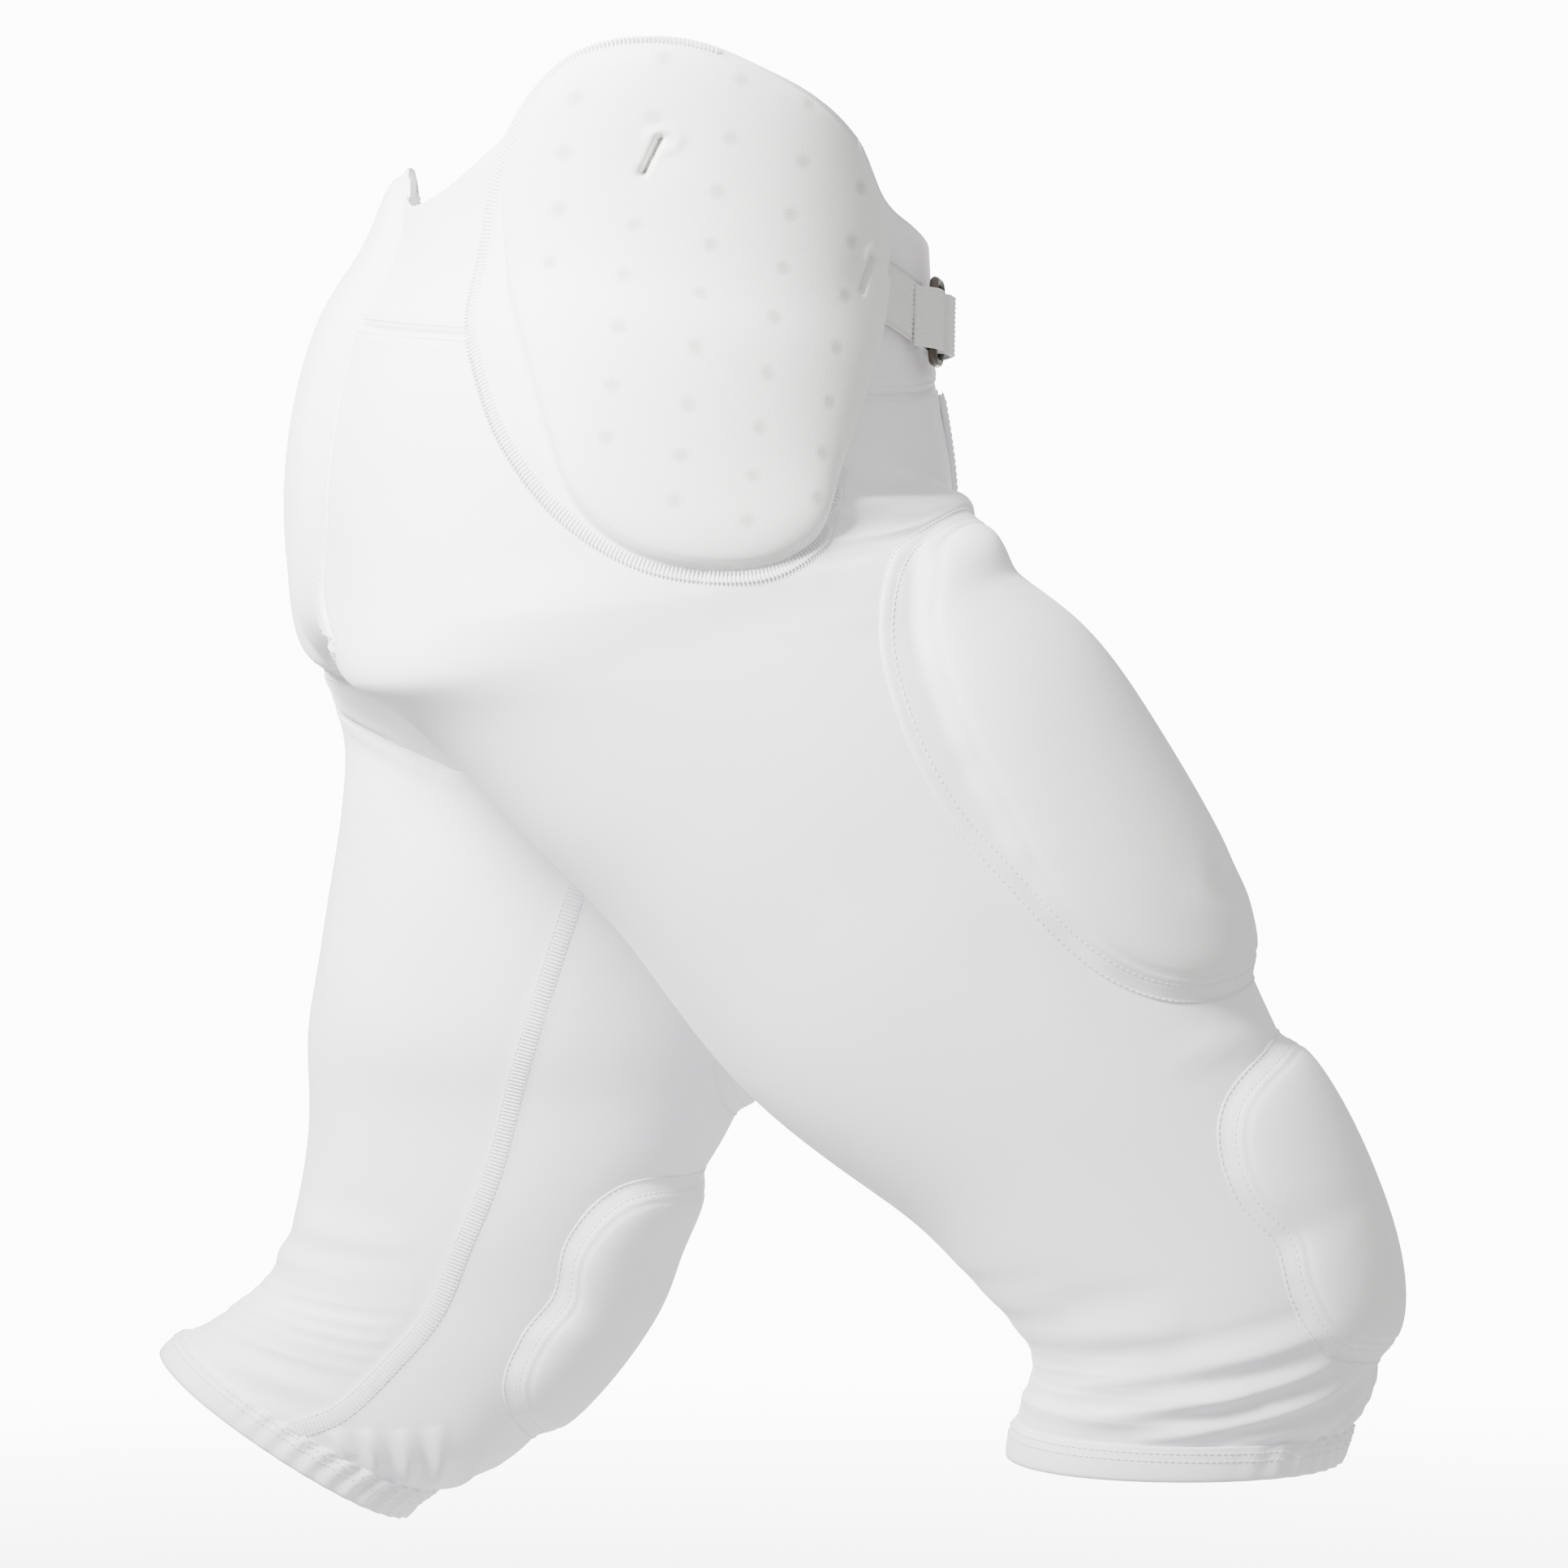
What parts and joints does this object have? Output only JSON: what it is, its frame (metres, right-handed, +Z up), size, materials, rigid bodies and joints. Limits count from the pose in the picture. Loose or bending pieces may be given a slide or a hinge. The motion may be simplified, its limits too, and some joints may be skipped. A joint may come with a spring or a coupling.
{
  "type": "integrated football pants",
  "caption": "Knee-length stretch football trousers with sewn-in hip, tail, thigh and knee pads and a short belt through a D-ring, in the form they take when worn in a lunge.",
  "frame": {"origin": "centre of the waist opening", "axes": "+X to the wearer's front, +Y to the wearer's left, +Z up"},
  "size_m": [0.5417, 0.3811, 0.6603],
  "materials": {
    "knit": "matt stretch knit",
    "seat_knit": "satin stretch knit",
    "foam": "closed-cell foam",
    "cover": "matt knit pad cover",
    "webbing": "coarse woven webbing",
    "ring": "satin"
  },
  "bodies": {
    "root": {"leg_panel_right": "knit", "back_yoke_right": "knit", "hem_band_right": "knit", "hip_pad_right": "foam", "thigh_pad_right": "foam", "knee_pad_right": "foam", "hip_cover_right": "cover", "thigh_pocket_right": "cover", "knee_pocket_right": "cover", "belt_webbing_right": "webbing", "leg_panel_left": "knit", "back_yoke_left": "knit", "hem_band_left": "knit", "hip_pad_left": "foam", "thigh_pad_left": "foam", "knee_pad_left": "foam", "hip_cover_left": "cover", "thigh_pocket_left": "cover", "knee_pocket_left": "cover", "belt_webbing_left": "webbing", "front_yoke": "knit", "tail_panel": "seat_knit", "gusset": "seat_knit", "tail_pad": "foam", "tail_cover": "cover", "belt_ring": "ring", "fly_placket": "knit"}
  },
  "joints": []
}
